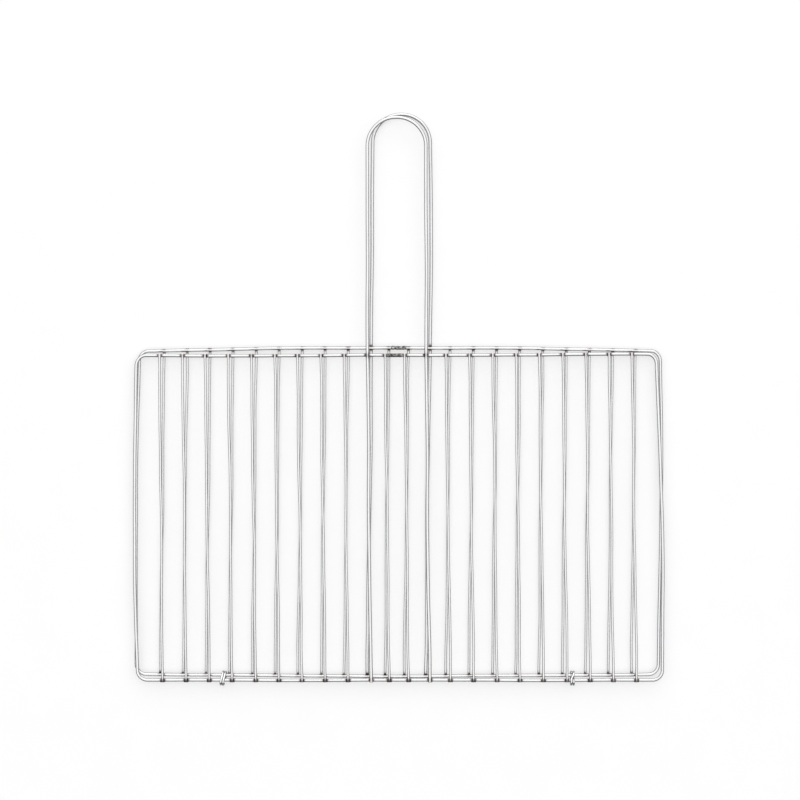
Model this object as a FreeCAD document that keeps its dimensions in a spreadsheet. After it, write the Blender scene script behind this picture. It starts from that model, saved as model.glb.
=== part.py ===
import FreeCAD, Part
import math
import os

import Sketcher

# A hinged wire grill basket, lying closed and flat, in millimetres. +Z is up and +Y runs from
# the hinge to the handle. The origin is under the middle of the whole basket, on the surface
# that it lies on.
#
# Two wire grids of the same make face each other. In each grid a bent frame wire carries
# twenty rods and one long handle wire, all welded to its outer face. The lower grid's frame and
# handle are the upper one's turned over about Y, so the rods of the two lean opposite ways and
# cross at half depth. The rods right of the handle are set a little nearer to it than the left.
# Two double-turn wire links join the hinge rails.

os.makedirs("parts", exist_ok=True)
doc = FreeCAD.newDocument("grill_basket")

DRIVING_SIZES = {
    "grid_width": 454.0,
    "grid_depth": 282.0,
    "grid_lean": 3.6,
    "grid_offset": 4.4,
    "corner_radius": 8.4,
    "frame_wire": 2.9,
    "handle_wire": 3.0,
    "rod_wire": 2.2,
    "link_wire": 1.8,
    "rod_pitch": 20.0,
    "right_rod_pitch": 20.15,
    "right_rod_gap": 17.6,
    "middle_pitch": 16.9,
    "middle_shift": 1.5,
    "handle_reach": 206.0,
    "handle_top_radius": 24.8,
    "leg_bend_radius": 40.0,
    "weld_bite": 0.3,
    "rail_gap": 0.3,
    "butt_gap": 0.4,
    "weld_length": 13.6,
    "weld_height": 0.45,
    "link_slack": 0.6,
    "link_run": 6.0,
    "link_pitch": 2.1,
    "left_link_place": -151.7,
    "right_link_place": 150.6,
    "left_link_slant": 10.0,
    "right_link_slant": 2.0,
    "opened_rail_pitch": 4.0,
}
SIDE_RODS = 9

sizes = doc.addObject("Spreadsheet::Sheet", "sizes")
for row, (word, number) in enumerate(DRIVING_SIZES.items(), start=1):
    sizes.set(f"A{row}", word)
    sizes.set(f"B{row}", str(number))
    sizes.setAlias(f"B{row}", word)
doc.recompute()

# Heights of the two frames above the surface: the lower handle wire lies on it.
LOWER_RAIL_Z = "(sizes.handle_wire + sizes.frame_wire / 2 - sizes.weld_bite)"
RAIL_RISE = "(sizes.frame_wire + sizes.rail_gap)"
UPPER_RAIL_Z = f"({LOWER_RAIL_Z} + {RAIL_RISE})"

# A link leans from the lower hinge rail towards the upper one, which lies further back.
RAIL_DISTANCE = f"sqrt(sizes.grid_offset ^ 2 + {RAIL_RISE} ^ 2)"
LINK_RADIUS = "(sizes.frame_wire / 2 + sizes.link_slack + sizes.link_wire / 2)"
LINK_REACH = (
    f"({LINK_RADIUS} + sizes.link_wire / 2 + sizes.link_run * sizes.grid_offset / {RAIL_DISTANCE})"
)

# The links reach furthest one way and the lower handle the other, and half the difference
# brings the middle of the basket over the origin.
HANDLE_REACH = "(sizes.grid_depth + sizes.handle_reach + sizes.handle_wire / 2)"
LOWER_HINGE_Y = f"(({LINK_REACH} - {HANDLE_REACH}) / 2)"
UPPER_HINGE_Y = f"({LOWER_HINGE_Y} - sizes.grid_offset)"

# face is 1 for the upper grid, whose wires lie on top of its rails, and -1 for the lower.
GRIDS = {
    "lower": {"face": -1, "rail_z": LOWER_RAIL_Z, "hinge_y": LOWER_HINGE_Y},
    "upper": {"face": 1, "rail_z": UPPER_RAIL_Z, "hinge_y": UPPER_HINGE_Y},
}
ROD_RISE = "(sizes.frame_wire / 2 + sizes.rod_wire / 2 - sizes.weld_bite)"
HANDLE_RISE = "(sizes.frame_wire / 2 + sizes.handle_wire / 2 - sizes.weld_bite)"
HALF_SPAN = "(1.5 * sizes.middle_pitch)"

START = 1
END = 2
CENTRE = 3


def value(formula):
    """The number that a formula of the sheet's cells gives."""
    return float(sizes.evalExpression(formula))


RAIL_ANGLE = math.degrees(math.atan2(value(RAIL_RISE), value("sizes.grid_offset")))


def new_sketch(body, name, role):
    """An empty sketch on the origin plane of a body that has the given role."""
    plane = next(item for item in body.Origin.OriginFeatures if item.Role == role)
    sketch = body.newObject("Sketcher::SketchObject", name)
    sketch.AttachmentSupport = [(plane, "")]
    sketch.MapMode = "FlatFace"
    return sketch


def hold(sketch, name, formula, *constraint):
    """Add a sized constraint to a sketch and bind its size to a formula."""
    index = sketch.addConstraint(Sketcher.Constraint(*constraint, value(formula)))
    sketch.renameConstraint(index, name)
    sketch.setExpression(f"Constraints.{name}", formula)


def place_point(sketch, name, piece, end, point):
    """Hold one point of a sketch at a pair of formulas, measured from the sketch's origin."""
    hold(sketch, f"{name}_x", point[0], "DistanceX", -1, START, piece, end)
    hold(sketch, f"{name}_y", point[1], "DistanceY", -1, START, piece, end)


def rounded_corner(before, corner, after, radius):
    """The arc that rounds the corner between two other points."""
    back = (before - corner).normalize()
    ahead = (after - corner).normalize()
    half_angle = back.getAngle(ahead) / 2
    inward = (back + ahead).normalize()
    middle = corner + inward * (radius / math.sin(half_angle) - radius)
    tangent = radius / math.tan(half_angle)
    return Part.Arc(corner + back * tangent, middle, corner + ahead * tangent)


def touching_ends(sketch, first, second):
    """Which end of one sketch piece lies on which end of another."""
    pairs = [(one, other) for one in (START, END) for other in (START, END)]

    def apart(pair):
        return (sketch.getPoint(first, pair[0]) - sketch.getPoint(second, pair[1])).Length

    return min(pairs, key=apart)


def draw_path(sketch, outline, radii):
    """Draw straight runs through the outline's points, with a tangent arc at each inner one.

    The points are pairs of formulas and the radii are formulas. Each inner point stays in
    the sketch as a held construction point that both its runs aim at.
    """
    points = [FreeCAD.Vector(value(x), value(y), 0) for x, y in outline]
    run_start = points[0]
    for number, radius in enumerate(radii, start=1):
        arc = rounded_corner(*points[number - 1 : number + 2], value(radius))
        sketch.addGeometry(Part.LineSegment(run_start, arc.StartPoint))
        sketch.addGeometry(arc)
        run_start = arc.EndPoint
    last_run = sketch.addGeometry(Part.LineSegment(run_start, points[-1]))

    place_point(sketch, "path_start", 0, START, outline[0])
    place_point(sketch, "path_end", last_run, END, outline[-1])
    for number, radius in enumerate(radii, start=1):
        arc = 2 * number - 1
        corner = sketch.addGeometry(Part.Point(points[number]), True)
        place_point(sketch, f"corner_{number}", corner, START, outline[number])
        for run in (arc - 1, arc + 1):
            sketch.addConstraint(Sketcher.Constraint("PointOnObject", corner, START, run))
            run_end, arc_end = touching_ends(sketch, run, arc)
            sketch.addConstraint(Sketcher.Constraint("Tangent", run, run_end, arc, arc_end))
        hold(sketch, f"radius_{number}", radius, "Radius", arc)


def draw_section(sketch, centre, diameter):
    """Draw a wire's round section."""
    middle = FreeCAD.Vector(value(centre[0]), value(centre[1]), 0)
    circle = sketch.addGeometry(Part.Circle(middle, FreeCAD.Vector(0, 0, 1), value(diameter) / 2))
    place_point(sketch, "centre", circle, CENTRE, centre)
    hold(sketch, "section", diameter, "Diameter", circle)


def sweep(body, section, path):
    """Sweep a section along a path into a body's solid."""
    pipe = body.newObject("PartDesign::AdditivePipe", f"{body.Name}_sweep")
    pipe.Profile = section
    pipe.Spine = path
    body.Tip = pipe
    section.Visibility = False
    path.Visibility = False


def grid_placement(grid, rise):
    """The formula that puts a grid's own piece, drawn from the middle of its handle rail, in place."""
    turn = 0 if grid["face"] == 1 else 180
    x = f"-({grid['face']}) * sizes.grid_lean / 2"
    y = f"{grid['hinge_y']} + sizes.grid_depth"
    z = f"{grid['rail_z']} + ({grid['face']}) * {rise}"
    return f"placement(vector({x}; {y}; {z}); rotation(vector(0; 1; 0); {turn}))"


def add_frame(name, grid):
    """One wire bent into a leaning rectangle, its two ends nearly meeting in the handle rail."""
    body = doc.addObject("PartDesign::Body", name)
    half = "sizes.grid_width / 2"
    outline = [
        ("0", "0"),
        (half, "0"),
        (f"{half} + sizes.grid_lean", "-sizes.grid_depth"),
        (f"-{half} + sizes.grid_lean", "-sizes.grid_depth"),
        (f"-{half}", "0"),
        ("-sizes.butt_gap", "0"),
    ]
    path = new_sketch(body, f"{name}_path", "XY_Plane")
    draw_path(path, outline, ["sizes.corner_radius"] * 4)
    section = new_sketch(body, f"{name}_section", "YZ_Plane")
    draw_section(section, ("0", "0"), "sizes.frame_wire")
    sweep(body, section, path)
    body.setExpression("Placement", grid_placement(grid, "0"))
    return body


def add_handle(name, grid):
    """One wire up from the hinge rail, round the handle's top and back down to the hinge rail."""
    body = doc.addObject("PartDesign::Body", name)
    foot_y = "(sizes.grid_depth + sizes.frame_wire / 2)"
    foot_lean = f"sizes.grid_lean * {foot_y} / sizes.grid_depth"
    outline = [
        (f"-{HALF_SPAN} + {foot_lean}", f"-{foot_y}"),
        (f"-{HALF_SPAN}", "0"),
        (f"-{HALF_SPAN}", "sizes.handle_reach"),
        (HALF_SPAN, "sizes.handle_reach"),
        (HALF_SPAN, "0"),
        (f"{HALF_SPAN} + {foot_lean}", f"-{foot_y}"),
    ]
    radii = [
        "sizes.leg_bend_radius",
        "sizes.handle_top_radius",
        "sizes.handle_top_radius",
        "sizes.leg_bend_radius",
    ]
    path = new_sketch(body, f"{name}_path", "XY_Plane")
    draw_path(path, outline, radii)
    section = new_sketch(body, f"{name}_section", "XZ_Plane")
    section.setExpression("AttachmentOffset.Base.z", foot_y)
    draw_section(section, (outline[0][0], "0"), "sizes.handle_wire")
    sweep(body, section, path)
    body.setExpression("Placement", grid_placement(grid, HANDLE_RISE))
    return body


def add_frame_weld(name, grid):
    """The rough sleeve of weld metal round the butt joint of the frame wire."""
    outside = doc.addObject("Part::Cylinder", f"{name}_outside")
    outside.setExpression("Radius", "sizes.frame_wire / 2 + sizes.weld_height")
    bore = doc.addObject("Part::Cylinder", f"{name}_bore")
    bore.setExpression("Radius", "sizes.frame_wire / 2")
    for round_bar in (outside, bore):
        round_bar.setExpression("Height", "sizes.weld_length")
    weld = doc.addObject("Part::Cut", name)
    weld.Base = outside
    weld.Tool = bore
    x = f"-({grid['face']}) * sizes.grid_lean / 2 - sizes.middle_shift - sizes.weld_length / 2"
    y = f"{grid['hinge_y']} + sizes.grid_depth"
    weld.setExpression(
        "Placement", f"placement(vector({x}; {y}; {grid['rail_z']}); rotation(vector(0; 1; 0); 90))"
    )
    return weld


def rod_middles():
    """Formulas for the places of the rods at half depth, from left to right."""
    left = [f"-({HALF_SPAN} + {count} * sizes.rod_pitch)" for count in range(SIDE_RODS, 0, -1)]
    middle = [f"({half} * sizes.middle_pitch - sizes.middle_shift)" for half in (-0.5, 0.5)]
    first_right = f"{HALF_SPAN} + sizes.right_rod_gap"
    right = [f"({first_right} + {count} * sizes.right_rod_pitch)" for count in range(SIDE_RODS)]
    return left + middle + right


def add_rod(name, grid, middle):
    """One straight leaning rod, cut off flush with the outside of both rails."""
    rod = doc.addObject("Part::Cylinder", name)
    rod.setExpression("Radius", "sizes.rod_wire / 2")
    span = "(sizes.grid_depth + sizes.frame_wire)"
    rod.setExpression("Height", f"{span} * sqrt(1 + (sizes.grid_lean / sizes.grid_depth) ^ 2)")
    face = grid["face"]
    x = f"{middle} + ({face}) * sizes.grid_lean / 2 * {span} / sizes.grid_depth"
    y = f"{grid['hinge_y']} - sizes.frame_wire / 2"
    z = f"{grid['rail_z']} + ({face}) * {ROD_RISE}"
    turn = f"rotation(vector(-sizes.grid_depth; -({face}) * sizes.grid_lean; 0); 90)"
    rod.setExpression("Placement", f"placement(vector({x}; {y}; {z}); {turn})")
    return rod


def link_path(half_run, radius, half_pitch, crossing_side):
    """Centre line of a double-turn oval link, drawn round its own middle.

    Its length lies along Y and the two turns lie side by side in X. They change sides along
    one straight run, on the side of the oval that crossing_side names as 1 for +Z or -1, and
    the wire's two tips lie at the ends of that run.
    """

    def point(x, y, z):
        return FreeCAD.Vector(x, y, z * crossing_side)

    def end_round(x, end):
        middle = point(x, end * (half_run + radius), 0)
        first = point(x, end * half_run, end * radius)
        last = point(x, end * half_run, -end * radius)
        return Part.Arc(first, middle, last)

    def back_run(x):
        return Part.LineSegment(point(x, half_run, -radius), point(x, -half_run, -radius))

    bend_radius = (half_pitch**2 + half_run**2) / (2 * half_pitch)
    half_turn = math.asin(half_run / bend_radius) / 2
    bulge_x = half_pitch - bend_radius * (1 - math.cos(half_turn))
    bulge_y = half_run - bend_radius * math.sin(half_turn)
    middle = point(0, 0, radius)
    leave = Part.Arc(
        point(-half_pitch, -half_run, radius), point(-bulge_x, -bulge_y, radius), middle
    )
    arrive = Part.Arc(middle, point(bulge_x, bulge_y, radius), point(half_pitch, half_run, radius))
    first_turn = [end_round(-half_pitch, 1), back_run(-half_pitch), end_round(-half_pitch, -1)]
    last_turn = [end_round(half_pitch, 1), back_run(half_pitch), end_round(half_pitch, -1)]
    return first_turn + [leave, arrive] + last_turn


def add_link(name, place, slant, crossing_side):
    """One double-turn link, one end centred on the lower hinge rail and the other past the upper."""
    wire_radius = value("sizes.link_wire / 2")
    half_run = value("sizes.link_run / 2")
    half_pitch = value("sizes.link_pitch / 2")
    path = link_path(half_run, value(LINK_RADIUS), half_pitch, crossing_side)
    section = Part.makeCircle(wire_radius, path[0].StartPoint, FreeCAD.Vector(0, 1, 0))
    spine = Part.Wire([piece.toShape() for piece in path])
    link = doc.addObject("Part::Feature", name)
    link.Shape = spine.makePipeShell([Part.Wire([section])], True, False)

    tilt = FreeCAD.Rotation(FreeCAD.Vector(1, 0, 0), -RAIL_ANGLE)
    turn = FreeCAD.Rotation(FreeCAD.Vector(0, 0, 1), 180 - value(slant))
    lower_rail = FreeCAD.Vector(value(place), value(LOWER_HINGE_Y), value(LOWER_RAIL_Z))
    middle = lower_rail + tilt.multVec(FreeCAD.Vector(0, -half_run, 0))
    link.Placement = FreeCAD.Placement(middle, tilt.multiply(turn))
    return link


nodes = []
for grid_name, grid in GRIDS.items():
    nodes.append(add_frame(f"{grid_name}_frame", grid))
    nodes.append(add_handle(f"{grid_name}_handle", grid))
    nodes.append(add_frame_weld(f"{grid_name}_frame_weld", grid))
    for number, middle in enumerate(rod_middles(), start=1):
        nodes.append(add_rod(f"{grid_name}_rod_{number:02d}", grid, middle))
for side, crossing_side in (("left", -1), ("right", 1)):
    place = f"sizes.{side}_link_place"
    nodes.append(add_link(f"{side}_hinge_link", place, f"sizes.{side}_link_slant", crossing_side))

doc.recompute()
for item in doc.Objects:
    if {"Invalid", "Error"} & set(item.State):
        raise RuntimeError(f"{item.Name} failed: {item.State}")
for node in nodes:
    node.Label = node.Name
    if node.Shape.isNull() or not node.Shape.isValid() or len(node.Shape.Solids) != 1:
        raise RuntimeError(f"{node.Label} is not one valid solid")
    node.Shape.exportStep(f"parts/{node.Label}.step")

# Opening turns the upper grid half a turn about a line midway between the places of its
# hinge rail when closed and when opened flat beside the lower rail.
lid_y = value(f"{LOWER_HINGE_Y} - (sizes.grid_offset + sizes.opened_rail_pitch) / 2")
lid_z = value(f"{LOWER_RAIL_Z} + {RAIL_RISE} / 2")
print(f"the links turn about y {value(LOWER_HINGE_Y):.3f} z {value(LOWER_RAIL_Z):.3f}")
print(f"the upper grid turns about y {lid_y:.3f} z {lid_z:.3f}")
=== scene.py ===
"""Looks of the wire grill basket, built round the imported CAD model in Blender, in metres."""

import math

import bpy
import numpy as np
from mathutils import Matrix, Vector, noise


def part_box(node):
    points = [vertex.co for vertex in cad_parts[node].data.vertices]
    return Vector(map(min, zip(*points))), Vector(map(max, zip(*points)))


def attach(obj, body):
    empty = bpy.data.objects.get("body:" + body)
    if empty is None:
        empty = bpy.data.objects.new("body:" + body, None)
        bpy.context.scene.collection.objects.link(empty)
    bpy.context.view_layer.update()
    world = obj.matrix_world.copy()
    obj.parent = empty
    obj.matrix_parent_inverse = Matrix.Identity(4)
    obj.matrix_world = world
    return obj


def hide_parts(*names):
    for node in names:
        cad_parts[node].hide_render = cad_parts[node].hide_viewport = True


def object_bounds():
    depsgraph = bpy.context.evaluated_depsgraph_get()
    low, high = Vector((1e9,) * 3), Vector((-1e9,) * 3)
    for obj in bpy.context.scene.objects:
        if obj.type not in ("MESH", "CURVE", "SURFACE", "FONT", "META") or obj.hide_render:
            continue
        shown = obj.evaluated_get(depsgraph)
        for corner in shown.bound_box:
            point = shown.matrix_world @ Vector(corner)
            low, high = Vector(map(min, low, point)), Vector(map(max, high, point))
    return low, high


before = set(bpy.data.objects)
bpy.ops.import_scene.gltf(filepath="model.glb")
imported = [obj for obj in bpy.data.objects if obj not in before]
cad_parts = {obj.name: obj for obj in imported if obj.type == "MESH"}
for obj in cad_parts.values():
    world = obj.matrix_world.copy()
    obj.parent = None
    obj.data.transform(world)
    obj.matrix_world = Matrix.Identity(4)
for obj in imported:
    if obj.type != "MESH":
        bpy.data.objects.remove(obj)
cad_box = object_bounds()

MM = 0.001
X_AXIS, Y_AXIS = 0, 1
UP = np.array([0.0, 0.0, 1.0])

# Wire sizes and bends that the CAD meshes are too coarse to give.
FRAME_RADIUS = 1.45 * MM
HANDLE_RADIUS = 1.50 * MM
ROD_RADIUS = 1.10 * MM
LINK_RADIUS = 0.90 * MM
CORNER_RADIUS = 8.4 * MM
HANDLE_TOP_RADIUS = 24.8 * MM
LEG_BEND_RADIUS = 40.0 * MM
BUTT_GAP = 0.4 * MM
LINK_SLACK = 0.6 * MM
LINK_RUN = 6.0 * MM
LINK_PITCH = 2.1 * MM

# Hand-made unevenness of the real thing. The sides bow outwards. A rail's left and right
# corners are moved to the right, or to the left where negative. A rail's bends are how far its
# left end, middle and right end lie off its straight line, towards the handle. It carries the
# wires welded to it along, and the handle gets back to its own line over HANDLE_SETTLE. The
# corners' and sides' moves die away from the sides as a power, CORNER_SHARPNESS. A handle's
# shifts are its own, to the right and upwards. ROD_SHIFT is the most for a rod's end.
SIDE_BOWS = {"lower": 1.8 * MM, "upper": 2.4 * MM}
CORNER_SHIFTS = {
    ("lower", "hinge"): (1.8 * MM, -0.4 * MM),
    ("lower", "handle"): (0.7 * MM, -1.8 * MM),
    ("upper", "hinge"): (-0.6 * MM, -0.4 * MM),
    ("upper", "handle"): (2.3 * MM, -2.5 * MM),
}
RAIL_BENDS = {
    ("lower", "hinge"): (1.2 * MM, -0.9 * MM, 1.0 * MM),
    ("lower", "handle"): (-1.2 * MM, 1.7 * MM, -1.0 * MM),
    ("upper", "hinge"): (0.5 * MM, 0.5 * MM, 0.5 * MM),
    ("upper", "handle"): (-0.9 * MM, -0.4 * MM, 0.6 * MM),
}
HANDLE_SHIFTS = {"lower": (0.9 * MM, -1.1 * MM), "upper": (0.6 * MM, -0.9 * MM)}
HANDLE_SETTLE = 40 * MM
CORNER_SHARPNESS = 13
ROD_SHIFT = 0.25 * MM

# How far each wire wavers off its line, and over what length. The waver is a sum of waves, of
# which the quicker ones are weaker by a power, WAVER_FADE. It has little effect in height, and
# none at a wire's ends, over WAVER_HELD.
FRAME_WAVER, FRAME_WAVE_LENGTH = 0.22 * MM, 0.21
ROD_WAVER, ROD_WAVE_LENGTHS = 0.30 * MM, (0.16, 0.3)
HANDLE_WAVER, HANDLE_WAVE_LENGTH = 0.45 * MM, 0.33
WAVER_OCTAVES = (1, 2, 4)
WAVER_FADE = 1.3
WAVER_IN_HEIGHT = 0.12
WAVER_HELD = 28 * MM

# How finely wires are divided: along them, in their bends, round them and near their welds,
# where no two points are nearer than CLOSEST_STEP of a step.
RING_STEP = 2.5 * MM
BEND_STEP = math.radians(4)
SIDES = 20
ROD_WELD_STEP, ROD_WELD_REACH = 0.4 * MM, 6 * MM
HANDLE_WELD_STEP, HANDLE_WELD_REACH = 0.5 * MM, 6 * MM
FRAME_WELD_STEP, FRAME_WELD_REACH = 0.8 * MM, 4 * MM
CLOSEST_STEP = 0.6

# Sections of a wire in a plane are further apart than this, and their points are nearer.
SECTION_GAP = 5 * MM

# An edge that turns by more than this is shaded as an edge.
SHARP_ANGLE = math.radians(50)

# Each grid's face is the side of its rails that its rods are welded on, 1 for the top and -1
# for the underside. Its hinge_flare is how much wider its rods are at the hinge rail.
GRIDS = {
    "lower": {"face": -1, "seed": 11, "hinge_flare": 1.28},
    "upper": {"face": 1, "seed": 29, "hinge_flare": 2.0},
}
ROD_COUNT = 20


# ---------------------------------------------------------------- places read from the frame


def section_middles(node, axis, place):
    """Middles of the wire sections where a CAD node crosses a plane, in rising order."""
    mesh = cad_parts[node].data
    points = np.array([v.co for v in mesh.vertices], float)
    edges = np.array([e.vertices[:] for e in mesh.edges])
    first, last = points[edges[:, 0]], points[edges[:, 1]]
    before, after = first[:, axis] - place, last[:, axis] - place
    cut = before * after < 0
    share = before[cut] / (before[cut] - after[cut])
    found = first[cut] + (last[cut] - first[cut]) * share[:, None]
    other = 1 - axis
    found = found[np.argsort(found[:, other])]
    breaks = np.flatnonzero(np.diff(found[:, other]) > SECTION_GAP) + 1
    return [(group.min(0) + group.max(0)) / 2 for group in np.split(found, breaks)]


def line_at(first, last, axis, place):
    """The point of a straight line where one coordinate has a given value."""
    share = (place - first[axis]) / (last[axis] - first[axis])
    return first + (last - first) * share


def frame_rails(grid):
    """A point on the middle line of each of a frame's two rails, by rail."""
    node = f"{grid}_frame"
    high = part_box(node)[1]
    hinge_rail, handle_rail = section_middles(node, X_AXIS, high[0] / 2)
    return {"hinge": hinge_rail, "handle": handle_rail}


def frame_corners(grid):
    """Meeting points of the lines of a frame's sides and rails, by rail and side."""
    node = f"{grid}_frame"
    low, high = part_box(node)
    quarter = (high[1] - low[1]) / 4
    near_left, near_right = section_middles(node, Y_AXIS, low[1] + quarter)
    far_left, far_right = section_middles(node, Y_AXIS, high[1] - quarter)
    corners = {}
    for rail, middle in frame_rails(grid).items():
        corners[rail, "left"] = line_at(near_left, far_left, Y_AXIS, middle[1])
        corners[rail, "right"] = line_at(near_right, far_right, Y_AXIS, middle[1])
    return corners


def rod_line(node):
    """The two ends of a rod's middle line, hinge end first."""
    low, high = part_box(node)
    inset = (high[1] - low[1]) / 20
    (near,) = section_middles(node, Y_AXIS, low[1] + inset)
    (far,) = section_middles(node, Y_AXIS, high[1] - inset)
    return line_at(near, far, Y_AXIS, low[1]), line_at(near, far, Y_AXIS, high[1])


# ---------------------------------------------------------------- lines that the wires follow


def straight_run(start, end, step):
    """Evenly spaced points from start up to, but not on, end."""
    count = max(2, round(np.linalg.norm(end - start) / step))
    return start + (end - start) * (np.arange(count) / count)[:, None]


def rounded_line(corners, radii):
    """Points along straight runs through the corners, with a round bend at each inner one."""
    pieces = []
    run_start = corners[0]
    for before, corner, after, radius in zip(corners, corners[1:], corners[2:], radii):
        back = (before - corner) / np.linalg.norm(before - corner)
        ahead = (after - corner) / np.linalg.norm(after - corner)
        half_angle = math.acos(float(np.clip(back @ ahead, -1, 1))) / 2
        tangent = radius / math.tan(half_angle)
        inwards = (back + ahead) / np.linalg.norm(back + ahead)
        middle = corner + inwards * radius / math.sin(half_angle)
        bend_start, bend_end = corner + back * tangent, corner + ahead * tangent
        turn = math.pi - 2 * half_angle
        count = max(4, round(turn / BEND_STEP))
        shares = (np.arange(count) / count)[:, None]
        from_start = np.sin((1 - shares) * turn) / math.sin(turn) * (bend_start - middle)
        from_end = np.sin(shares * turn) / math.sin(turn) * (bend_end - middle)
        pieces.append(straight_run(run_start, bend_start, RING_STEP))
        pieces.append(middle + from_start + from_end)
        run_start = bend_end
    pieces.append(straight_run(run_start, corners[-1], RING_STEP))
    pieces.append(corners[-1][None, :])
    return np.concatenate(pieces)


def distances_along(line):
    """How far along a line each of its points is."""
    steps = np.linalg.norm(np.diff(line, axis=0), axis=1)
    return np.concatenate(([0.0], np.cumsum(steps)))


def directions_along(line):
    """Which way a line runs at each of its points."""
    tangent = np.gradient(line, axis=0)
    return tangent / np.linalg.norm(tangent, axis=1)[:, None]


def eased(share):
    """A share from 0 to 1 that starts and stops gently."""
    return share * share * (3 - 2 * share)


def waver(line, size, wave_length, random):
    """Push a line gently off its course, sideways and less in height, holding both ends."""
    along = distances_along(line)
    from_end = along[-1] - along
    hold = eased(np.clip(along / WAVER_HELD, 0, 1) * np.clip(from_end / WAVER_HELD, 0, 1))
    sideways = np.cross(UP, directions_along(line))
    drift = np.zeros((2, len(line)))
    for octave in WAVER_OCTAVES:
        for row in drift:
            phase = random.uniform(0, 2 * math.pi)
            wave = np.sin(2 * math.pi * along * octave / wave_length + phase)
            row += wave / octave**WAVER_FADE
    moved = line + sideways * (drift[0] * hold * size)[:, None]
    return moved + UP * (drift[1] * hold * size * WAVER_IN_HEIGHT)[:, None]


def link_line(crossing_side):
    """Middle line of a double-turn oval link round its own middle, its length along Y."""
    half_run, half_pitch = LINK_RUN / 2, LINK_PITCH / 2
    reach = FRAME_RADIUS + LINK_SLACK + LINK_RADIUS
    end_steps, back_steps, cross_steps = 24, 12, 20

    def end_round(x, end):
        angle = np.linspace(0, math.pi, end_steps + 1)[:-1]
        y = end * (half_run + reach * np.sin(angle))
        z = end * reach * np.cos(angle)
        return np.stack([np.full_like(angle, x), y, z], axis=1)

    def back_run(x):
        y = np.linspace(half_run, -half_run, back_steps + 1)[:-1]
        return np.stack([np.full_like(y, x), y, np.full_like(y, -reach)], axis=1)

    def one_turn(x):
        return [end_round(x, 1), back_run(x), end_round(x, -1)]

    share = np.linspace(0, 1, cross_steps + 1)[:-1]
    x = (2 * eased(share) - 1) * half_pitch
    y = (2 * share - 1) * half_run
    cross_run = np.stack([x, y, np.full_like(share, reach)], axis=1)
    tip = np.array([[half_pitch, -half_run, reach]])
    line = np.concatenate(one_turn(-half_pitch) + [cross_run] + one_turn(half_pitch) + [tip])
    return line * np.array([1, 1, crossing_side])


def bend_like_rails(grid, line):
    """Move a grid's straight-drawn line to where the bent rails and bowed sides carry it."""
    corners, rails = frame_corners(grid), frame_rails(grid)
    hinge_y, handle_y = rails["hinge"][1], rails["handle"][1]
    half_width = (corners["hinge", "right"][0] - corners["hinge", "left"][0]) / 2
    across = np.clip(line[:, 0] / half_width, -1, 1)
    at_side = across**CORNER_SHARPNESS
    up_side = (line[:, 1] - hinge_y) / (handle_y - hinge_y)
    shares = {"hinge": np.clip(1 - up_side, 0, 1), "handle": np.clip(up_side, 0, 1)}
    beyond = np.clip((line[:, 1] - handle_y) / HANDLE_SETTLE, 0, 1)
    shares["handle"] = shares["handle"] * (1 - beyond)
    moved = line.copy()
    for rail, share in shares.items():
        left, middle, right = RAIL_BENDS[grid, rail]
        bend = middle + (right - left) / 2 * across + ((left + right) / 2 - middle) * across**2
        corner_shift = np.where(across < 0, *CORNER_SHIFTS[grid, rail])
        moved[:, 1] += share * bend
        moved[:, 0] += share * np.abs(at_side) * corner_shift
    moved[:, 0] += at_side * SIDE_BOWS[grid] * np.sin(math.pi * np.clip(up_side, 0, 1))
    return moved


# ---------------------------------------------------------------- meshes


def planar_axes(line):
    """Forward, sideways and upright directions along a wire that lies nearly flat."""
    tangent = directions_along(line)
    sideways = np.cross(tangent, UP)
    sideways /= np.linalg.norm(sideways, axis=1)[:, None]
    return tangent, sideways, np.cross(sideways, tangent)


def carried_axes(line):
    """The same directions carried along a wire that turns every way, without twist."""
    tangent = directions_along(line)
    upright = np.cross(tangent[0], [1.0, 0.0, 0.0])
    rows = []
    for direction in tangent:
        upright = upright - direction * (upright @ direction)
        upright /= np.linalg.norm(upright)
        rows.append(upright)
    upright = np.array(rows)
    return tangent, np.cross(tangent, upright), upright


def new_piece(name, shape, body, slot, replaced=()):
    """A smooth mesh piece that rides on a body and has its slot's material and finish.

    The shape is its points, its faces and the values that each point carries, by label.
    """
    points, faces, carried = shape
    mesh = bpy.data.meshes.new(name)
    mesh.from_pydata(points.tolist(), [], faces)
    mesh.update()
    for label, values in carried.items():
        kind, key = ("FLOAT", "value") if values.ndim == 1 else ("FLOAT_VECTOR", "vector")
        attribute = mesh.attributes.new(label, kind, "POINT")
        attribute.data.foreach_set(key, values.astype(np.float32).ravel())
    mesh.shade_smooth()
    mesh.set_sharp_from_angle(angle=SHARP_ANGLE)
    mesh.materials.append(materials[slot])
    piece = bpy.data.objects.new(name, mesh)
    bpy.context.scene.collection.objects.link(piece)
    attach(piece, body)
    if replaced:
        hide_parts(*replaced)


# A wire's cut end, as each ring's share of the full radius and its distance in, in radii.
CUT_END_RINGS = ((0.5, 0.0), (0.82, 0.0), (1.0, 0.18))
SQUARING = 0.45

# How much less colour a wire's cool side has, and where it starts and how quickly it sets in,
# as shares of the wire's height over its middle.
COOL_SIDE_LOSS = 0.7
COOL_SIDE_START, COOL_SIDE_WIDTH = 0.7, 0.3


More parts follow.
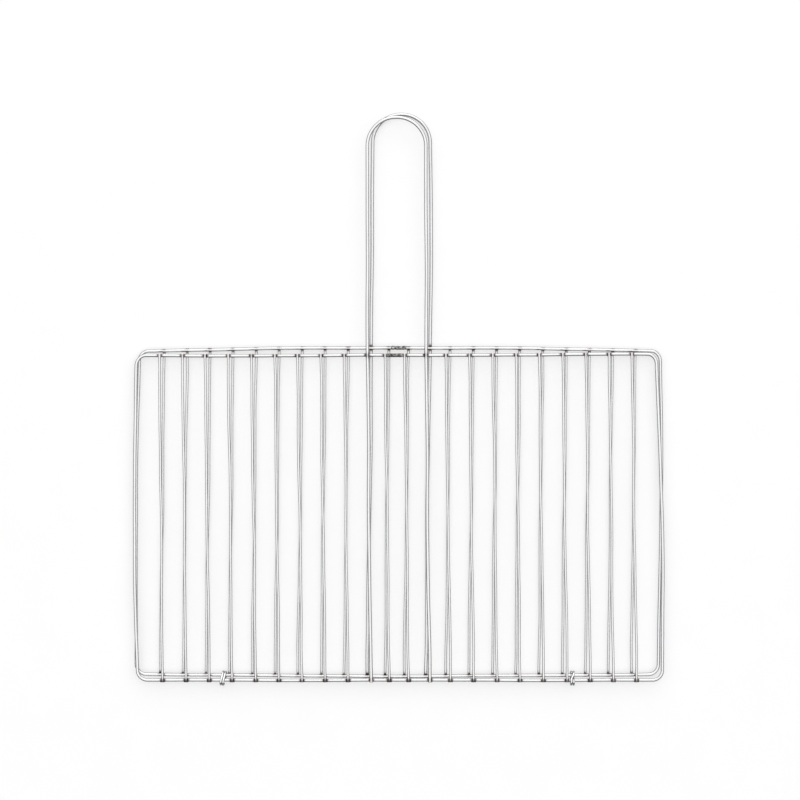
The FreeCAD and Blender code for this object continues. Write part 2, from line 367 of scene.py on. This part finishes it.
def wire(
    line,
    radius,
    axes=planar_axes,
    across=1.0,
    thick=1.0,
    square=0.0,
    darkening=0.0,
    cool_side=0,
    start=0.0,
):
    """Points, faces and point values of a round wire along a line, with bevelled cut ends.

    across and thick stretch the section sideways and upright, square makes it less round, and
    all three may change along the line. The weld tint, which is the heat of the welds and, at the
    rods' squeezed hinge ends, painted shade as well, leaves less colour on cool_side, 1 for the
    top, -1 for the underside and 0 for neither, and a size over or under 1 widens or narrows it.
    start sets where the wire's surface marks begin.
    """
    tangent, sideways, upright = axes(line)
    count = len(line)
    shapes = (across, thick, square, darkening, cool_side)
    across, thick, square, darkening, cool_side = (np.broadcast_to(row, count) for row in shapes)
    angle = np.arange(SIDES) * 2 * math.pi / SIDES
    cos, sin = np.cos(angle), np.sin(angle)
    rings, marks, ring_darkening = [], [], []
    along = distances_along(line) + start

    def ring(row, scale, shift):
        power = 1 - SQUARING * square[row]
        wide = np.sign(cos) * np.abs(cos) ** power * radius * across[row] * scale
        high = np.sign(sin) * np.abs(sin) ** power * radius * thick[row] * scale
        middle = line[row] + tangent[row] * shift
        coolness = np.clip((sin * cool_side[row] - COOL_SIDE_START) / COOL_SIDE_WIDTH, 0, 1)
        rings.append(middle + wide[:, None] * sideways[row] + high[:, None] * upright[row])
        marks.append(np.stack([np.full(SIDES, along[row] + shift), wide, high], axis=1))
        ring_darkening.append(darkening[row] * (1 - COOL_SIDE_LOSS * coolness))

    for scale, inset in CUT_END_RINGS:
        ring(0, scale, inset * radius)
    for row in range(1, count - 1):
        ring(row, 1.0, 0)
    for scale, inset in reversed(CUT_END_RINGS):
        ring(count - 1, scale, -inset * radius)

    points = np.concatenate(rings + [line[:1], line[-1:]])
    last_row = (len(rings) - 1) * SIDES
    first_tip, last_tip = last_row + SIDES, last_row + SIDES + 1
    faces = []
    for here in range(0, last_row, SIDES):
        there = here + SIDES
        for side in range(SIDES):
            turned = (side + 1) % SIDES
            faces.append((here + side, there + side, there + turned, here + turned))
    for side in range(SIDES):
        turned = (side + 1) % SIDES
        faces.append((first_tip, side, turned))
        faces.append((last_tip, last_row + turned, last_row + side))
    tips = np.array([[along[0], 0, 0], [along[-1], 0, 0]])
    # The tint values carry the weld heat, and at the rods' squeezed hinge ends painted shade as
    # well.
    carried = {
        "wire_space": np.concatenate(marks + [tips]),
        "weld_heat_and_painted_shade": np.concatenate(ring_darkening + [darkening[:1], darkening[-1:]]),
    }
    return points, faces, carried


def heat_near(line, welds, reach):
    """How strongly welds, as (place, strength), heated each point of a line."""
    darkening = np.zeros(len(line))
    for place, strength in welds:
        distance = np.linalg.norm(line[:, :2] - place[:2], axis=1)
        darkening = np.maximum(darkening, strength * np.exp(-((distance / reach) ** 2)))
    return darkening


def finer_near(line, welds, reach, step):
    """The same line with points every step wherever it passes within reach of a weld."""
    along = distances_along(line)
    wanted = [along]
    for place, strength in welds:
        nearest = along[np.argmin(np.linalg.norm(line[:, :2] - place[:2], axis=1))]
        wanted.append(np.arange(max(0, nearest - reach), min(along[-1], nearest + reach), step))
    every = np.unique(np.round(np.concatenate(wanted), 6))
    closest = CLOSEST_STEP * step
    kept = [every[0]]
    for value in every[1:-1]:
        if value - kept[-1] > closest and along[-1] - value > closest:
            kept.append(value)
    kept.append(along[-1])
    return np.stack([np.interp(kept, along, line[:, axis]) for axis in range(3)], axis=1)


LUMP_ROWS, LUMP_COLUMNS = 8, 12
LUMP_ROUGHNESS, LUMP_GRAIN = 0.35, 1.6


def lump(middle, sizes, seed):
    """Points and faces of one small uneven blob of weld metal."""
    points = []
    for row in range(LUMP_ROWS + 1):
        polar = math.pi * row / LUMP_ROWS
        for column in range(LUMP_COLUMNS if 0 < row < LUMP_ROWS else 1):
            turn = 2 * math.pi * column / LUMP_COLUMNS
            x, y = math.sin(polar) * math.cos(turn), math.sin(polar) * math.sin(turn)
            ray = Vector((x, y, math.cos(polar)))
            spot = ray * LUMP_GRAIN + Vector((seed * 3.7, seed * 1.3, 0))
            swell = 1 + LUMP_ROUGHNESS * noise.noise(spot)
            points.append([middle[axis] + ray[axis] * sizes[axis] * swell for axis in range(3)])
    faces = []
    last = len(points) - 1

    def at(row, column):
        return 1 + (row - 1) * LUMP_COLUMNS + column % LUMP_COLUMNS

    for column in range(LUMP_COLUMNS):
        turned = column + 1
        faces.append((0, at(1, column), at(1, turned)))
        faces.append((last, at(LUMP_ROWS - 1, turned), at(LUMP_ROWS - 1, column)))
        for row in range(1, LUMP_ROWS - 1):
            below = row + 1
            faces.append((at(row, column), at(below, column), at(below, turned), at(row, turned)))
    return np.array(points), faces


def joined(parts):
    """Several (points, faces) as one shape."""
    points, faces, start = [], [], 0
    for some_points, some_faces in parts:
        points.append(some_points)
        faces.extend(tuple(start + index for index in face) for face in some_faces)
        start += len(some_points)
    return np.concatenate(points), faces, {}


# ---------------------------------------------------------------- materials


class Nodes:
    """The node tree of a material or world, with short calls for adding and joining nodes."""

    def __init__(self, owner):
        owner.use_nodes = True
        self.tree = owner.node_tree

    def add(self, kind, settings=None, **inputs):
        """A new node. An input is named by its label, or by i and its number."""
        node = self.tree.nodes.new(kind)
        for key, setting in (settings or {}).items():
            setattr(node, key, setting)
        for key, value in inputs.items():
            self.put(node, key.replace("_", " "), value)
        return node

    def put(self, node, socket, value):
        """Set an input to a value, or join it to another node's output."""
        socket = int(socket[1:]) if socket[1:].isdigit() else socket
        if isinstance(value, bpy.types.NodeSocket):
            self.tree.links.new(value, node.inputs[socket])
        else:
            node.inputs[socket].default_value = value

    def math(self, operation, first, second=0.0, clamp=False):
        settings = {"operation": operation, "use_clamp": clamp}
        return self.add("ShaderNodeMath", settings, i0=first, i1=second).outputs[0]

    def ramp(self, value, stops):
        """A colour ramp. A stop's shade is a colour, or one number for a grey."""
        node = self.add("ShaderNodeValToRGB", Fac=value)
        elements = node.color_ramp.elements
        while len(elements) < len(stops):
            elements.new(0.5)
        for element, (place, shade) in zip(elements, stops):
            element.position = place
            element.color = (*shade, 1) if isinstance(shade, tuple) else (shade, shade, shade, 1)
        return node.outputs["Color"]

    def mix(self, blend, share, first, second):
        """Two colours mixed, each given as a colour or as another node's output."""
        first, second = (
            (*colour, 1) if isinstance(colour, tuple) else colour for colour in (first, second)
        )
        settings = {"data_type": "RGBA", "blend_type": blend}
        return self.add("ShaderNodeMix", settings, i0=share, i6=first, i7=second).outputs[2]

    def spread(self, vector, scales):
        settings = {"operation": "MULTIPLY"}
        return self.add("ShaderNodeVectorMath", settings, i0=vector, i1=scales).outputs[0]

    def noise(self, vector, scales, detail=2.0, rough=0.5):
        """Noise that repeats the scales' numbers of times in a metre, one for each direction."""
        place = self.spread(vector, scales)
        inputs = {"Vector": place, "Scale": 1.0, "Detail": detail, "Roughness": rough}
        return self.add("ShaderNodeTexNoise", **inputs).outputs[0]


# What the heat of the welds, and the painted shade at the rods' squeezed hinge ends, multiplies
# a plated wire's colour by, from none to most.
HEAT_AND_SHADE_TINT = (
    (0.0, (1.0, 1.0, 1.0)),
    (0.28, (0.90, 0.875, 0.86)),
    (0.48, (0.52, 0.475, 0.46)),
    (0.66, (0.22, 0.20, 0.20)),
    (0.9, (0.07, 0.065, 0.065)),
)
PIT_COLOUR = (0.16, 0.14, 0.13)
RUST_COLOUR = (0.17, 0.055, 0.035)


def new_material(name):
    """A new material, its nodes and its shader."""
    material = bpy.data.materials.new(name)
    nodes = Nodes(material)
    return material, nodes, nodes.tree.nodes["Principled BSDF"]


def plated_wire(name, shade, base_roughness):
    """Bright plated drawn wire: lengthwise drawing lines, clouding, pits, heat tint at welds.

    The tint also darkens the rods' squeezed hinge ends with painted shade.
    """
    material, nodes, shader = new_material(name)
    place = nodes.add("ShaderNodeAttribute", {"attribute_name": "wire_space"}).outputs["Vector"]
    # Weld tint, with painted shade at the rods' squeezed hinge ends.
    darkening = nodes.add("ShaderNodeAttribute", {"attribute_name": "weld_heat_and_painted_shade"}).outputs["Fac"]
    lines = nodes.noise(place, (60, 5200, 5200), 3.0, 0.6)
    clouds = nodes.noise(place, (90, 420, 420), 3.0)
    long_clouds = nodes.noise(place, (22, 130, 130))
    pits = nodes.noise(place, (1500, 1500, 1500), 2.0, 0.6)
    pit_mask = nodes.ramp(pits, ((0.66, 0.0), (0.74, 1.0)))

    unevenness = nodes.math("MULTIPLY", nodes.math("SUBTRACT", clouds, 0.5), 0.45)
    uneven_darkening = nodes.math("ADD", darkening, unevenness)
    near_weld = nodes.math("MULTIPLY", darkening, 4.0, clamp=True)
    reached = nodes.math("MULTIPLY", uneven_darkening, near_weld, clamp=True)
    clean = nodes.mix("MIX", long_clouds, shade, tuple(part * 0.86 for part in shade))
    clean = nodes.mix("MULTIPLY", 0.35, clean, nodes.ramp(lines, ((0.3, 0.72), (0.62, 1.0))))
    pitted = nodes.mix("MIX", nodes.math("MULTIPLY", pit_mask, 0.6), clean, PIT_COLOUR)
    tinted = nodes.mix("MULTIPLY", 1.0, pitted, nodes.ramp(reached, HEAT_AND_SHADE_TINT))
    nodes.put(shader, "Base Color", tinted)
    nodes.put(shader, "Metallic", 1.0)

    rough = nodes.math("ADD", nodes.math("MULTIPLY", clouds, 0.14), base_roughness - 0.07)
    rough = nodes.math("ADD", rough, nodes.math("MULTIPLY", reached, 0.34))
    rough = nodes.math("ADD", rough, nodes.math("MULTIPLY", pit_mask, 0.25), clamp=True)
    nodes.put(shader, "Roughness", rough)
    bump = nodes.add("ShaderNodeBump", Height=lines, Strength=0.30, Distance=0.02 * MM)
    bump = nodes.add(
        "ShaderNodeBump",
        Height=clouds,
        Strength=0.22,
        Distance=0.08 * MM,
        Normal=bump.outputs[0],
    )
    bump = nodes.add(
        "ShaderNodeBump",
        {"invert": True},
        Height=pit_mask,
        Strength=0.3,
        Distance=0.03 * MM,
        Normal=bump.outputs[0],
    )
    nodes.put(shader, "Normal", bump.outputs[0])
    return material


def weld_metal(name):
    """Rough dark weld metal with brighter worn patches and rusty specks."""
    material, nodes, shader = new_material(name)
    place = nodes.add("ShaderNodeTexCoord").outputs["Object"]
    grain = nodes.noise(place, (1400, 1400, 1400), 4.0, 0.65)
    patches = nodes.noise(place, (560, 560, 560))
    specks = nodes.noise(place, (750, 650, 700), 3.0)
    rust = nodes.ramp(specks, ((0.56, 0.0), (0.68, 1.0)))
    shades = ((0.36, (0.05, 0.047, 0.046)), (0.52, (0.22, 0.21, 0.205)), (0.68, 0.58))
    metal = nodes.ramp(patches, shades)
    colour = nodes.mix("MIX", nodes.math("MULTIPLY", rust, 0.55), metal, RUST_COLOUR)
    metallic = nodes.math("SUBTRACT", 0.95, nodes.math("MULTIPLY", rust, 0.6))
    rough = nodes.math("ADD", nodes.math("MULTIPLY", grain, 0.45), 0.24)
    bump = nodes.add("ShaderNodeBump", Height=grain, Strength=0.7, Distance=0.12 * MM)
    nodes.put(shader, "Base Color", colour)
    nodes.put(shader, "Metallic", metallic)
    nodes.put(shader, "Roughness", rough)
    nodes.put(shader, "Normal", bump.outputs[0])
    return material


materials = {
    "frame_wire": plated_wire("frame_wire_plating", (0.88, 0.88, 0.89), 0.14),
    "handle_wire": plated_wire("handle_wire_plating", (0.89, 0.89, 0.90), 0.13),
    "rod_wire": plated_wire("rod_wire_plating", (0.88, 0.88, 0.89), 0.13),
    "link_wire": plated_wire("link_wire_plating", (0.91, 0.91, 0.91), 0.13),
    "weld_metal": weld_metal("weld_metal"),
}


# ---------------------------------------------------------------- the two grids


# How hot the welds were, and how far from each its heat tints the wires. Those at the middle of
# the basket were hotter.
WELD_STRENGTHS = (0.82, 1.08)
MIDDLE_STRENGTH, MIDDLE_REACH = 0.12, 70 * MM
ROD_HEAT_REACH = 2.9 * MM
HANDLE_HEAT_REACH = 3.0 * MM
FRAME_HEAT_REACH = 2.6 * MM
BUTT_HEAT_STRENGTH, BUTT_HEAT_REACH = 0.7, 8.5 * MM

# The squeezed ends of rods and handle wires: how long each is, and how much wider, thinner and
# squarer it gets. The rods' hinge ends are wider by their grid's hinge_flare, and their cool
# side is narrower there, which spreads the weld tint and the painted shade of the squeezed end
# over more of the wire. A frame's cool side is the one away from the rods, and wider.
HINGE_END_LENGTH = 3.6 * MM
ROD_HINGE_THINNING = 0.42
ROD_HINGE_SQUARENESS = 0.8
ROD_HINGE_WARMTH_AND_SHADE = 0.22
ROD_HANDLE_LENGTH = 4.2 * MM
ROD_HANDLE_WIDENING = 0.26
ROD_HANDLE_THINNING = 0.20
ROD_HANDLE_ROUNDNESS = 0.7
HANDLE_END_SPREAD = 0.22
FRAME_COOL_SIDE = 1.15

# How far along the plating's pattern one rod is from the next, and a frame from its handle.
ROD_MARK_STEP = 0.37
FRAME_MARK_STEP = 3


def weld_strength(place, random):
    """Heat left at a weld: uneven from one to the next and most at the middle of the basket."""
    middle = math.exp(-((place[0] / MIDDLE_REACH) ** 2))
    return float(random.uniform(*WELD_STRENGTHS) + MIDDLE_STRENGTH * middle)


def make_rod(grid, number, random):
    """One rod, spread flat where the welding tools squeezed its ends. Returns its two welds."""
    face, flare = GRIDS[grid]["face"], GRIDS[grid]["hinge_flare"]
    node = f"{grid}_rod_{number:02d}"
    hinge_end, handle_end = rod_line(node)
    hinge_end[0] += random.uniform(-ROD_SHIFT, ROD_SHIFT)
    handle_end[0] += random.uniform(-ROD_SHIFT, ROD_SHIFT)
    hinge_end, handle_end = bend_like_rails(grid, np.array([hinge_end, handle_end]))
    run = handle_end - hinge_end
    inset = run / np.linalg.norm(run) * FRAME_RADIUS
    places = (hinge_end + inset, handle_end - inset)
    welds = [(place, weld_strength(place, random)) for place in places]

    line = np.concatenate([straight_run(hinge_end, handle_end, RING_STEP), handle_end[None, :]])
    line = finer_near(line, welds, ROD_WELD_REACH, ROD_WELD_STEP)
    to_hinge = distances_along(line)
    to_handle = to_hinge[-1] - to_hinge
    line = waver(line, ROD_WAVER, random.uniform(*ROD_WAVE_LENGTHS), random)
    hinge_fan = np.clip(1 - to_hinge / HINGE_END_LENGTH, 0, 1)
    handle_fan = np.clip(1 - to_handle / ROD_HANDLE_LENGTH, 0, 1) ** ROD_HANDLE_ROUNDNESS
    thick = 1 - ROD_HINGE_THINNING * hinge_fan - ROD_HANDLE_THINNING * handle_fan
    line = line - UP * (face * ROD_RADIUS * (1 - thick))[:, None]
    # Painted shade: the squeezed hinge end is darkened through the weld tint, standing in for the
    # shadows beside its flattened sides.
    painted_end_shade = welds[0][1] * hinge_fan**0.5
    rod = wire(
        line,
        ROD_RADIUS,
        across=1 + (flare - 1) * hinge_fan + ROD_HANDLE_WIDENING * handle_fan,
        thick=thick,
        square=np.clip(hinge_fan * ROD_HINGE_SQUARENESS + handle_fan, 0, 1),
        darkening=np.maximum(heat_near(line, welds, ROD_HEAT_REACH), painted_end_shade),
        cool_side=face * (1 - ROD_HINGE_WARMTH_AND_SHADE * hinge_fan),
        start=number * ROD_MARK_STEP + face,
    )
    new_piece(f"{node}_wire", rod, f"{grid}_grid", "rod_wire", [node])
    return welds


def make_handle(grid, random):
    """The long handle wire. Returns its welds to the two rails, hinge rail first."""
    node = f"{grid}_handle"
    rails = frame_rails(grid)
    hinge_y, handle_y = rails["hinge"][1], rails["handle"][1]
    low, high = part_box(node)
    feet = section_middles(node, Y_AXIS, hinge_y + 30 * MM)
    knees = section_middles(node, Y_AXIS, handle_y - 30 * MM)
    legs = section_middles(node, Y_AXIS, handle_y + 60 * MM)
    top = high[1] - HANDLE_RADIUS
    outline, hinge_welds, handle_welds = [], [], []
    for foot, knee, leg, order in zip(feet, knees, legs, (1, -1)):
        hinge_crossing = line_at(foot, knee, Y_AXIS, hinge_y)
        handle_crossing = np.array([leg[0], handle_y, leg[2]])
        outline += [
            line_at(foot, knee, Y_AXIS, low[1]),
            handle_crossing,
            np.array([leg[0], top, leg[2]]),
        ][::order]
        settled = bend_like_rails(grid, np.array([hinge_crossing, handle_crossing]))
        hinge_welds.append((settled[0], weld_strength(hinge_crossing, random)))
        handle_welds.append((settled[1], weld_strength(handle_crossing, random)))
    radii = [LEG_BEND_RADIUS, HANDLE_TOP_RADIUS, HANDLE_TOP_RADIUS, LEG_BEND_RADIUS]
    line = bend_like_rails(grid, rounded_line(outline, radii))
    shift_x, shift_y = HANDLE_SHIFTS[grid]
    up_handle = np.clip((line[:, 1] - handle_y) / (3 * HANDLE_SETTLE), 0, 1)
    line[:, 0] += shift_x * up_handle * (2 - up_handle)
    line[:, 1] += shift_y * up_handle
    line = waver(line, HANDLE_WAVER, HANDLE_WAVE_LENGTH, random)
    welds = hinge_welds + handle_welds
    line = finer_near(line, welds, HANDLE_WELD_REACH, HANDLE_WELD_STEP)
    along = distances_along(line)
    from_end = np.minimum(along, along[-1] - along)
    fan = np.clip(1 - from_end / HINGE_END_LENGTH, 0, 1)
    handle = wire(
        line,
        HANDLE_RADIUS,
        across=1 + HANDLE_END_SPREAD * fan,
        thick=1 - HANDLE_END_SPREAD * fan,
        square=fan,
        darkening=heat_near(line, welds, HANDLE_HEAT_REACH),
        cool_side=GRIDS[grid]["face"],
        start=GRIDS[grid]["seed"],
    )
    new_piece(f"{node}_wire", handle, f"{grid}_grid", "handle_wire", [node])
    return hinge_welds, handle_welds


def make_frame(grid, welds, random):
    """The frame wire, from its butt joint round the four corners and back to the joint."""
    node = f"{grid}_frame"
    corners, handle_rail = frame_corners(grid), frame_rails(grid)["handle"]
    joint_low, joint_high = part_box(f"{grid}_frame_weld")
    joint = np.array([(joint_low[0] + joint_high[0]) / 2, handle_rail[1], handle_rail[2]])
    gap = np.array([BUTT_GAP / 2, 0, 0])
    outline = [
        joint + gap,
        corners["handle", "right"],
        corners["hinge", "right"],
        corners["hinge", "left"],
        corners["handle", "left"],
        joint - gap,
    ]
    line = bend_like_rails(grid, rounded_line(outline, [CORNER_RADIUS] * 4))
    (joint,) = bend_like_rails(grid, joint[None, :])
    line = waver(line, FRAME_WAVER, FRAME_WAVE_LENGTH, random)
    line = finer_near(line, welds, FRAME_WELD_REACH, FRAME_WELD_STEP)
    joint_heat = heat_near(line, [(joint, BUTT_HEAT_STRENGTH)], BUTT_HEAT_REACH)
    frame_wire = wire(
        line,
        FRAME_RADIUS,
        darkening=np.maximum(heat_near(line, welds, FRAME_HEAT_REACH), joint_heat),
        cool_side=-FRAME_COOL_SIDE * GRIDS[grid]["face"],
        start=GRIDS[grid]["seed"] + FRAME_MARK_STEP,
    )
    new_piece(f"{node}_wire", frame_wire, f"{grid}_grid", "frame_wire", [node])


# The butt weld's bead: its grain along and round the wire, in coarse and fine lumps, and its
# height as shares of the room that the CAD sleeve gives it. It may dip under the wire a little.
BEAD_ROWS, BEAD_COLUMNS = 90, 28
BEAD_GRAIN_ALONG, BEAD_GRAIN_ROUND = 900, 1.6
BEAD_COARSE_GRAIN, BEAD_FINE_GRAIN = 0.55, 2.1
BEAD_HEIGHT, BEAD_COARSE_HEIGHT, BEAD_FINE_HEIGHT = 0.30, 0.75, 0.35
BEAD_DIP = 0.06 * MM
BEAD_ENDS, BEAD_END_ROUNDNESS = 7, 0.6


def make_butt_weld(grid):
    """The uneven sleeve of weld metal round the frame's butt joint, ground lightly and pitted."""
    node = f"{grid}_frame_weld"
    low, high = (np.array(corner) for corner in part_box(node))
    (middle,) = bend_like_rails(grid, (low + high)[None, :] / 2)
    room = (high[2] - low[2]) / 2 - FRAME_RADIUS
    points = []
    for row in range(BEAD_ROWS + 1):
        share = row / BEAD_ROWS
        x = low[0] + (high[0] - low[0]) * share
        fade = min(1.0, BEAD_ENDS * share, BEAD_ENDS * (1 - share)) ** BEAD_END_ROUNDNESS
        for column in range(BEAD_COLUMNS):
            turn = 2 * math.pi * column / BEAD_COLUMNS
            y, z = math.cos(turn), math.sin(turn)
            grain_z = z * BEAD_GRAIN_ROUND + GRIDS[grid]["seed"]
            spot = Vector((x * BEAD_GRAIN_ALONG, y * BEAD_GRAIN_ROUND, grain_z))
            coarse = BEAD_COARSE_HEIGHT * noise.noise(spot * BEAD_COARSE_GRAIN)
            fine = BEAD_FINE_HEIGHT * noise.noise(spot * BEAD_FINE_GRAIN)
            height = room * (BEAD_HEIGHT + coarse + fine) * fade
            radius = FRAME_RADIUS + min(max(height, -BEAD_DIP), room)
            points.append([x, middle[1] + y * radius, middle[2] + z * radius])
    faces = []
    last_row = BEAD_ROWS * BEAD_COLUMNS
    for here in range(0, last_row, BEAD_COLUMNS):
        there = here + BEAD_COLUMNS
        for column in range(BEAD_COLUMNS):
            turned = (column + 1) % BEAD_COLUMNS
            faces.append((here + column, here + turned, there + turned, there + column))
    faces.append(tuple(range(BEAD_COLUMNS))[::-1])
    faces.append(tuple(range(last_row, last_row + BEAD_COLUMNS)))
    bead = (np.array(points), faces, {})
    new_piece(f"{node}_bead", bead, f"{grid}_grid", "weld_metal", [node])


# How far a squeezed-out lump lies beside its wire, in the wire's radii, along it, in mm, and
# over the rail's middle, in the rail's radii, and the ranges of its three half sizes, in mm.
LUMP_BESIDE = (0.95, 1.15)
LUMP_DRIFT = 0.35
LUMP_UP_RAIL = 0.86
LUMP_SIZES = ((0.75, 1.10), (0.90, 1.35), (0.42, 0.62))


def make_rail_welds(grid, rail, welds, wire_radii, random):
    """The small squeezed-out lumps on both sides of every wire welded across one rail."""
    height = frame_rails(grid)[rail][2] + GRIDS[grid]["face"] * FRAME_RADIUS * LUMP_UP_RAIL
    parts = []
    for (place, strength), radius in zip(welds, wire_radii):
        for side in (-1, 1):
            beside = place[0] + side * radius * random.uniform(*LUMP_BESIDE)
            along = place[1] + random.uniform(-LUMP_DRIFT, LUMP_DRIFT) * MM
            sizes = [random.uniform(*span) * MM for span in LUMP_SIZES]
            parts.append(lump((beside, along, height), sizes, random.uniform(0, 50)))
    new_piece(f"{grid}_{rail}_rail_welds", joined(parts), f"{grid}_grid", "weld_metal")


def make_grid(grid):
    """Every piece of one grid. The frame comes after the wires whose welds tint it."""
    random = np.random.default_rng(GRIDS[grid]["seed"])
    rod_welds = [make_rod(grid, number, random) for number in range(1, ROD_COUNT + 1)]
    handle_to_hinge, handle_to_rail = make_handle(grid, random)
    at_hinge = [pair[0] for pair in rod_welds] + handle_to_hinge
    at_handle = [pair[1] for pair in rod_welds] + handle_to_rail
    make_frame(grid, at_hinge + at_handle, random)
    make_butt_weld(grid)
    radii = [ROD_RADIUS] * ROD_COUNT + [HANDLE_RADIUS] * 2
    make_rail_welds(grid, "hinge", at_hinge, radii, random)
    make_rail_welds(grid, "handle", at_handle, radii, random)


for grid in GRIDS:
    make_grid(grid)


# ---------------------------------------------------------------- the hinge links


def make_link(side, slant, crossing_side, start):
    """One double-turn link round the two hinge rails, leaning from the lower to the upper one.

    It is slanted by degrees seen from above, and its turns cross on its top, 1, or under it, -1.
    """
    node = f"{side}_hinge_link"
    low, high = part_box(node)
    lower_rail, upper_rail = (frame_rails(grid)["hinge"] for grid in ("lower", "upper"))
    lean = math.atan2(upper_rail[2] - lower_rail[2], lower_rail[1] - upper_rail[1])
    turn = math.radians(180 - slant)
    turn_cos, turn_sin = math.cos(turn), math.sin(turn)
    lean_cos, lean_sin = math.cos(lean), math.sin(lean)
    turning = np.array([[turn_cos, turn_sin, 0], [-turn_sin, turn_cos, 0], [0, 0, 1]])
    leaning = np.array([[1, 0, 0], [0, lean_cos, -lean_sin], [0, lean_sin, lean_cos]])
    line = link_line(crossing_side) @ turning + np.array([0, -LINK_RUN / 2, 0])
    line = line @ leaning + np.array([(low[0] + high[0]) / 2, lower_rail[1], lower_rail[2]])
    link = wire(line, LINK_RADIUS, axes=carried_axes, start=start)
    new_piece(f"{node}_wire", link, f"{side}_link", "link_wire", [node])


make_link("left", slant=10, crossing_side=-1, start=5)
make_link("right", slant=2, crossing_side=1, start=8)


# ---------------------------------------------------------------- stage, light and camera


FLOOR_HALF_SIZE = 12.0
FLOOR_SHADES = ((0.3, 0.455), (0.7, 0.465))
FLOOR_GLOW = 0.555
FLOOR_REFLECTED = 0.03

# The sky's brightness by height, which is lowered a little in front, and what the camera sees.
SKY_TILT = 0.35
SKY_SHADES = ((0.0, 0.02), (0.35, 0.03), (0.52, 0.88), (0.80, 1.0))
SKY_SEEN = (0.93, 0.93, 0.93)
SKY_STRENGTH = 1.2

LAMP_PLACE = (0.35, 2.6, 1.35)
LAMP_SIZE = (3.2, 1.2)
LAMP_POWER = 11

CAMERA_LENS, CAMERA_SENSOR = 85.0, 36.0
CAMERA_SHIFT = (1.3 * MM, -1.9 * MM)
CAMERA_HEIGHT = 1.636


def make_floor():
    """A wide pale sheet lit softly from below, darker in reflections than to the eye."""
    mesh = bpy.data.meshes.new("floor")
    ways = ((-1, -1), (1, -1), (1, 1), (-1, 1))
    corners = [(x * FLOOR_HALF_SIZE, y * FLOOR_HALF_SIZE, 0) for x, y in ways]
    mesh.from_pydata(corners, [], [(0, 1, 2, 3)])
    floor = bpy.data.objects.new("floor", mesh)
    bpy.context.scene.collection.objects.link(floor)
    material, nodes, shader = new_material("pale_sheet")
    place = nodes.add("ShaderNodeTexCoord").outputs["Object"]
    mottle = nodes.noise(place, (30, 30, 30))
    seen = nodes.add("ShaderNodeLightPath").outputs["Is Camera Ray"]
    more_seen = nodes.math("MULTIPLY", seen, FLOOR_GLOW - FLOOR_REFLECTED)
    nodes.put(shader, "Base Color", nodes.ramp(mottle, FLOOR_SHADES))
    nodes.put(shader, "Emission Color", (1.0, 1.0, 1.0, 1.0))
    nodes.put(shader, "Emission Strength", nodes.math("ADD", more_seen, FLOOR_REFLECTED))
    nodes.put(shader, "Roughness", 0.9)
    nodes.put(shader, "Specular IOR Level", 0.1)
    mesh.materials.append(material)


def make_sky():
    """A soft tent of light: bright overhead and dark round the horizon, more so in front."""
    world = bpy.data.worlds.new("tent")
    bpy.context.scene.world = world
    nodes = Nodes(world)
    background = nodes.tree.nodes["Background"]
    direction = nodes.add("ShaderNodeTexCoord").outputs["Generated"]
    settings = {"operation": "DOT_PRODUCT"}
    rise = nodes.add("ShaderNodeVectorMath", settings, i0=direction, i1=(0, SKY_TILT, 1))
    tent = nodes.ramp(rise.outputs["Value"], SKY_SHADES)
    seen = nodes.add("ShaderNodeLightPath").outputs["Is Camera Ray"]
    nodes.put(background, "Color", nodes.mix("MIX", seen, tent, SKY_SEEN))
    nodes.put(background, "Strength", SKY_STRENGTH)


def make_lamp():
    """A large soft lamp low beyond the handle, aimed at the middle of the basket."""
    light = bpy.data.lights.new("key_lamp", "AREA")
    light.shape = "RECTANGLE"
    light.size, light.size_y = LAMP_SIZE
    light.energy = LAMP_POWER
    lamp = bpy.data.objects.new("key_lamp", light)
    lamp.location = LAMP_PLACE
    lamp.rotation_euler = (-Vector(LAMP_PLACE)).to_track_quat("-Z", "Y").to_euler()
    lamp.visible_camera = False
    bpy.context.scene.collection.objects.link(lamp)


def make_camera():
    """A camera looking straight down with the handle upwards."""
    low, high = cad_box
    camera = bpy.data.cameras.new("camera")
    camera.lens = CAMERA_LENS
    camera.sensor_width = CAMERA_SENSOR
    viewer = bpy.data.objects.new("camera", camera)
    viewer.location = (*CAMERA_SHIFT, (low.z + high.z) / 2 + CAMERA_HEIGHT)
    bpy.context.scene.collection.objects.link(viewer)
    bpy.context.scene.camera = viewer


make_floor()
make_sky()
make_lamp()
make_camera()
bpy.context.scene.view_settings.view_transform = "Standard"
